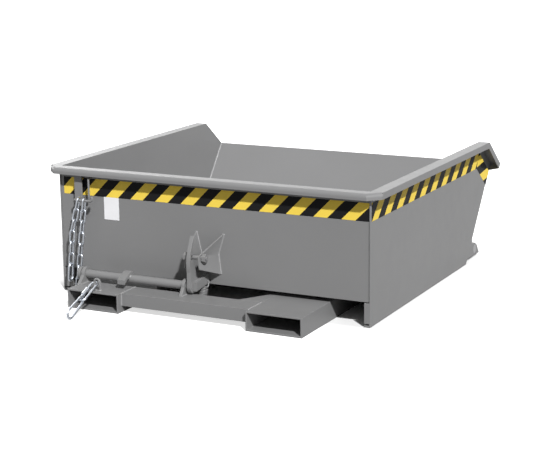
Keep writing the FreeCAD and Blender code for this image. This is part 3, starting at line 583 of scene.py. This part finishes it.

# %% [markdown]
# The return spring pulls between two bodies: its lower hook sits in a plate behind the crossbeam, which
# stands still, and its upper hook in the latch arm, which turns. Riding on one of them, it would tear out
# of the other. So a copy of the coil, with its loose triangles merged and its faces smooth, stands in for
# the rigid solid, and here it rides on neither body.

# %% Return spring
coil_mesh = frame["nodes"]["return_spring"].data.copy()
coil_faces = bmesh.new()
coil_faces.from_mesh(coil_mesh)
bmesh.ops.remove_doubles(coil_faces, verts=coil_faces.verts, dist=merge_gap)
for face in coil_faces.faces:
    face.smooth = True
coil_faces.to_mesh(coil_mesh)
coil_faces.free()
coil = bpy.data.objects.new("return_spring_coil", coil_mesh)
bpy.context.collection.objects.link(coil)
coil_foot, coil_head = corner("return_spring", 0, 0, -1), corner("return_spring", 0, 0, 1)
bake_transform(coil)
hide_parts("return_spring")

# %% [markdown]
# The plates are joined by hand-laid weld beads, which stand out as bright rippled lines at the corners of
# the trough, along the latch guides and under the bearing cheeks. Rows of small balls would look much the
# same, but they cut through each other. So a circle is swept along each seam, and only its radius changes:
# it swells with every ripple, differs a little from one to the next, and shrinks at the two ends.

# %% Geometry Nodes: radius of the bead
samples_in_ripple = 4
bead_sides = 8
blunt_end = 0.15
bead_seed = 7
random_low, random_high, random_result = 2, 3, 1


def bead_radius(tree, given):
    """The radius of the bead at each point of a seam."""
    along = tree.nodes.new("GeometryNodeSplineParameter").outputs["Length"]
    whole = tree.nodes.new("GeometryNodeSplineLength").outputs["Length"]
    closed = tree.nodes.new("GeometryNodeInputSplineCyclic").outputs["Cyclic"]
    ripples = maths(tree, "DIVIDE", along, given["Ripple Pitch"])
    wave = maths(tree, "ABSOLUTE", maths(tree, "SINE", maths(tree, "MULTIPLY", ripples, math.pi)))
    valley = maths(tree, "SUBTRACT", 1.0, given["Ripple Depth"])
    swell = maths(tree, "ADD", valley, maths(tree, "MULTIPLY", given["Ripple Depth"], wave))
    chance = add(tree, "FunctionNodeRandomValue", data_type="FLOAT")
    tree.links.new(maths(tree, "SUBTRACT", 1.0, given["Unevenness"]), chance.inputs[random_low])
    tree.links.new(maths(tree, "ADD", 1.0, given["Unevenness"]), chance.inputs[random_high])
    tree.links.new(maths(tree, "FLOOR", ripples), chance.inputs["ID"])
    tree.links.new(given["Seed"], chance.inputs["Seed"])
    to_end = maths(tree, "MINIMUM", along, maths(tree, "SUBTRACT", whole, along))
    share = maths(tree, "MINIMUM", 1.0, maths(tree, "DIVIDE", to_end, given["Bead Radius"]))
    taper = maths(tree, "SQRT", maths(tree, "MAXIMUM", share, blunt_end))
    taper = maths(tree, "MAXIMUM", taper, closed)
    size = maths(tree, "MULTIPLY", chance.outputs[random_result], given["Bead Radius"])
    return maths(tree, "MULTIPLY", size, maths(tree, "MULTIPLY", swell, taper))


print("a ripple has", samples_in_ripple, "rings of", bead_sides, "points")

# %% [markdown]
# The tree itself is short. A seam is a chain of mesh edges, it becomes a curve, and the curve is cut into
# even steps for the circle to follow. Ends that meet are merged first, so that a seam round a bar closes
# into a ring. The tree ends in a plain mesh with its paint, because an export keeps no instances.

# %% Geometry Nodes: weld bead


def bead_tree():
    """A tree that sweeps a rippled bead of weld along the edges of a mesh."""
    tree = bpy.data.node_groups.new("weld_bead", "GeometryNodeTree")
    tree.interface.new_socket("Seams", in_out="INPUT", socket_type="NodeSocketGeometry")
    sizes = {"Bead Radius": 2.6 * MM, "Ripple Pitch": 2.0 * MM, "Ripple Depth": 0.1, "Unevenness": 0.05}
    for name, value in sizes.items():
        socket = tree.interface.new_socket(name, in_out="INPUT", socket_type="NodeSocketFloat")
        socket.default_value = value
    seed = tree.interface.new_socket("Seed", in_out="INPUT", socket_type="NodeSocketInt")
    seed.default_value = bead_seed
    tree.interface.new_socket("Paint", in_out="INPUT", socket_type="NodeSocketMaterial")
    tree.interface.new_socket("Beads", in_out="OUTPUT", socket_type="NodeSocketGeometry")
    given = tree.nodes.new("NodeGroupInput").outputs
    made = tree.nodes.new("NodeGroupOutput")
    joined = add(tree, "GeometryNodeMergeByDistance", {"Distance": merge_gap})
    seam = tree.nodes.new("GeometryNodeMeshToCurve")
    steps = add(tree, "GeometryNodeResampleCurve", mode="LENGTH")
    round_section = add(tree, "GeometryNodeCurvePrimitiveCircle", {"Resolution": bead_sides, "Radius": 1.0})
    swept = add(tree, "GeometryNodeCurveToMesh", {"Fill Caps": True})
    real = tree.nodes.new("GeometryNodeRealizeInstances")
    smooth = tree.nodes.new("GeometryNodeSetShadeSmooth")
    painted = tree.nodes.new("GeometryNodeSetMaterial")
    link = tree.links.new
    link(given["Seams"], joined.inputs["Geometry"])
    link(joined.outputs["Geometry"], seam.inputs["Mesh"])
    link(seam.outputs["Curve"], steps.inputs["Curve"])
    link(maths(tree, "DIVIDE", given["Ripple Pitch"], samples_in_ripple), steps.inputs["Length"])
    link(steps.outputs["Curve"], swept.inputs["Curve"])
    link(bead_radius(tree, given), swept.inputs["Scale"])
    link(round_section.outputs["Curve"], swept.inputs["Profile Curve"])
    link(swept.outputs["Mesh"], real.inputs["Geometry"])
    link(real.outputs["Geometry"], smooth.inputs["Geometry"])
    link(smooth.outputs["Geometry"], painted.inputs["Geometry"])
    link(given["Paint"], painted.inputs["Material"])
    link(painted.outputs["Geometry"], made.inputs["Beads"])
    return tree


weld_bead = bead_tree()
print("tree:", weld_bead.name, len(weld_bead.nodes), "nodes")

# %% [markdown]
# Each body gets beads of its own, since a bead moves with the plates that it joins. The modifier's inputs
# are set by their identifiers, the result becomes a plain mesh, and the modifier goes. It could stay live,
# but a plain mesh is what a viewer of the exported skip will have.

# %% Lay the beads


def lay_beads(name, body, seams, sizes):
    """One mesh of beads along the seams of a body. A seam is a list of points."""
    mesh = bpy.data.meshes.new(name)
    points = [point for seam in seams for point in seam]
    edges = []
    first = 0
    for seam in seams:
        edges += [(first + step, first + step + 1) for step in range(len(seam) - 1)]
        first += len(seam)
    mesh.from_pydata(points, edges, [])
    piece = bpy.data.objects.new(name, mesh)
    bpy.context.collection.objects.link(piece)
    bead = piece.modifiers.new("beads", "NODES")
    bead.node_group = weld_bead
    for socket in weld_bead.interface.items_tree:
        if socket.name in sizes:
            bead[socket.identifier] = sizes[socket.name]
        if socket.name == "Paint":
            bead[socket.identifier] = weld_paint
    ready = piece.evaluated_get(bpy.context.evaluated_depsgraph_get())
    piece.data = bpy.data.meshes.new_from_object(ready)
    piece.modifiers.clear()
    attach(piece, body)
    print(name, len(seams), "seams", len(piece.data.polygons), "faces")


print("beads are painted with", weld_paint.name)

# %% [markdown]
# The trough is welded along every inner corner: floor to walls, and walls to sides. On a real skip these
# beads hold the load in, and the one between the back and the side is easy to see. Their places are the
# corners of the plates.

# %% Beads inside the trough
below_rim = 4 * MM
below_lip = 2 * MM
toward_foot = (0, -0.97, 0.37)
toward_lip = (0, -0.61, 0.85)

floor_low, floor_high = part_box("floor_plate")
front_low, front_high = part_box("front_wall")
left_in, right_in = floor_low.x, floor_high.x
floor_top = floor_high.z
front_in = front_high.y
back_foot = corner("rear_wall", *toward_foot)
back_lip = corner("rear_wall", *toward_lip)
rise = (floor_top - back_foot.z) / (back_lip.z - back_foot.z)
back_in = back_foot.y + rise * (back_lip.y - back_foot.y)

inner_seams = [[Vector((left_in, front_in, floor_top)), Vector((right_in, front_in, floor_top))],
               [Vector((left_in, back_in, floor_top)), Vector((right_in, back_in, floor_top))]]
for side in (left_in, right_in):
    inner_seams += [[Vector((side, front_in, floor_top)), Vector((side, back_in, floor_top))],
                    [Vector((side, front_in, floor_top)), Vector((side, front_in, front_high.z - below_rim))],
                    [Vector((side, back_in, floor_top)), Vector((side, back_lip.y, back_lip.z - below_lip))]]
lay_beads("trough_inner_welds", "trough", inner_seams, {"Bead Radius": 3.4 * MM, "Ripple Pitch": 2.6 * MM})

# %% [markdown]
# Outside, short beads hold the two folded guides of the striker to the front wall, the strap and the rod of
# the chain to the same wall, the peg to the strap, and the hinge lugs to the slanted back. A guide meets
# the wall along a bent line. That line could be copied from the drawing, but it is safer to look for the
# points of the guide that touch the wall, and to take the left and the right one at each height.

# %% Beads outside the trough
level_digits = 4
level_gap = 0.1 * MM
contact_gap = 0.3 * MM
ring_steps = 20
strap_bead_drop = 5 * MM


def foot_edges(node, touches):
    """The left and right edges of the face with which a solid touches its neighbour, going up."""
    points = [vertex.co.copy() for vertex in frame["nodes"][node].data.vertices if touches(vertex.co)]
    levels = sorted({round(point.z, level_digits) for point in points})
    rows = [[point for point in points if abs(point.z - level) < level_gap] for level in levels]
    return [[pick(row, key=lambda point: point.x) for row in rows] for pick in (min, max)]


def ring(middle, radius, axis):
    """Points on a circle round an axis."""
    turn = Vector(axis).to_track_quat("Z", "Y")
    angles = [2 * math.pi * step / ring_steps for step in range(ring_steps + 1)]
    return [middle + turn @ Vector((radius * math.cos(a), radius * math.sin(a), 0)) for a in angles]


wall_face = front_low.y
outer_seams = []
for node in ("left_latch_guide", "right_latch_guide"):
    outer_seams += foot_edges(node, lambda point: point.y > wall_face - contact_gap)

strap_low, strap_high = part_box("hanger_strap")
strap_top = strap_high.z - strap_bead_drop
outer_seams.append([Vector((x, wall_face, strap_top)) for x in (strap_low.x, strap_high.x)])
peg_low, peg_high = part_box("chain_peg")
peg_radius = (strap_low.x + strap_high.x) / 2 - peg_low.x
peg_foot = Vector((peg_low.x + peg_radius, peg_high.y, peg_low.z + peg_radius))
outer_seams.append(ring(peg_foot, peg_radius, (0, 1, 0)))
rod_low, rod_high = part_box("keeper_rod")
rod_radius = (rod_high.x - rod_low.x) / 2
rod_foot = Vector((rod_low.x + rod_radius, wall_face, rod_high.z - rod_radius))
outer_seams.append(ring(rod_foot, rod_radius, (0, 1, 0)))

back_low, back_top = corner("rear_wall", 0, 0, -1), corner("rear_wall", 0, 1, 0)
up_back = (back_top - back_low) * Vector((0, 1, 1))
up_back.normalize()
for node in ("left_hinge_lug", "right_hinge_lug"):
    outer_seams += foot_edges(node, lambda point: abs((point - back_low).cross(up_back).x) < contact_gap)
lay_beads("trough_outer_welds", "trough", outer_seams, {})

# %% [markdown]
# The frame below is welded from two fork pockets, two cross beams, cheeks, lugs and the small eye of the
# securing hook. Most of its seams lie on top of the pockets and beams, where the foot of one piece meets a
# flat face, so their ends can be read from the boxes of the pieces.

# %% Beads on the frame
bead_inset = 2 * MM

pocket_low, pocket_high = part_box("left_fork_pocket")
beam_low, beam_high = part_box("front_crossbeam")
rear_low, rear_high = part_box("rear_crossbeam")
deck = pocket_high.z


def foot_side(node, x):
    """A seam along the side of a plate that stands on the pockets or the beam."""
    low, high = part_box(node)
    return [Vector((x, low.y + bead_inset, deck)), Vector((x, high.y - bead_inset, deck))]


frame_seams = [foot_side("left_bearing_cheek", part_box("left_bearing_cheek")[1].x)]
frame_seams += [foot_side("right_bearing_cheek", face.x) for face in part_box("right_bearing_cheek")]
for side in (beam_low.x, beam_high.x):
    frame_seams.append([Vector((side, beam_low.y, beam_low.z)), Vector((side, beam_low.y, deck)),
                        Vector((side, beam_high.y, deck))])
    way = math.copysign(1, side)
    frame_seams.append([Vector((way * abs(pocket_low.x), rear_low.y, rear_high.z)),
                        Vector((way * abs(pocket_high.x), rear_low.y, rear_high.z))])
for side in (rear_low.x, rear_high.x):
    frame_seams.append([Vector((side, rear_low.y, rear_high.z)), Vector((side, rear_high.y, rear_high.z)),
                        Vector((side, rear_high.y, rear_low.z))])
eye_low, eye_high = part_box("pocket_eye")
eye_bar = (eye_high.y - eye_low.y) / 2
for leg in (eye_low.x + eye_bar, eye_high.x - eye_bar):
    frame_seams.append(ring(Vector((leg, eye_low.y + eye_bar, deck)), eye_bar, (0, 0, 1)))
anchor_low, anchor_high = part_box("spring_anchor")
for side in (anchor_low.x, anchor_high.x):
    frame_seams.append([Vector((side, beam_high.y, z)) for z in (beam_low.z + bead_inset, anchor_high.z)])
lay_beads("frame_welds", "frame", frame_seams, {"Bead Radius": 2.3 * MM})

# %% [markdown]
# The hook and the small lug that the operator presses are welded to the shaft and turn with it, so their
# beads belong to the latch. They are rings, or parts of a ring, round the shaft.

# %% Beads on the latch
shaft_low, shaft_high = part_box("release_shaft")
shaft_radius = (shaft_high.z - shaft_low.z) / 2
shaft_middle = (shaft_low + shaft_high) / 2
hook_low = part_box("latch_hook")[0]
lug_low, lug_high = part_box("release_lug")


def round_shaft(x):
    """A ring round the shaft at some place along it."""
    return ring(Vector((x, shaft_middle.y, shaft_middle.z)), shaft_radius, (1, 0, 0))


def over_front(point):
    """Whether a point of the ring lies on the upper front quarter of the shaft."""
    return point.y < shaft_middle.y and point.z > shaft_middle.z


latch_seams = [round_shaft(hook_low.x)]
over_shaft = [point for point in round_shaft(lug_low.x) if over_front(point)]
over_shaft.sort(key=lambda point: point.z)
for side in (lug_low.x, lug_high.x):
    latch_seams.append([Vector((side, point.y, point.z)) for point in over_shaft])
lay_beads("latch_welds", "latch", latch_seams, {})
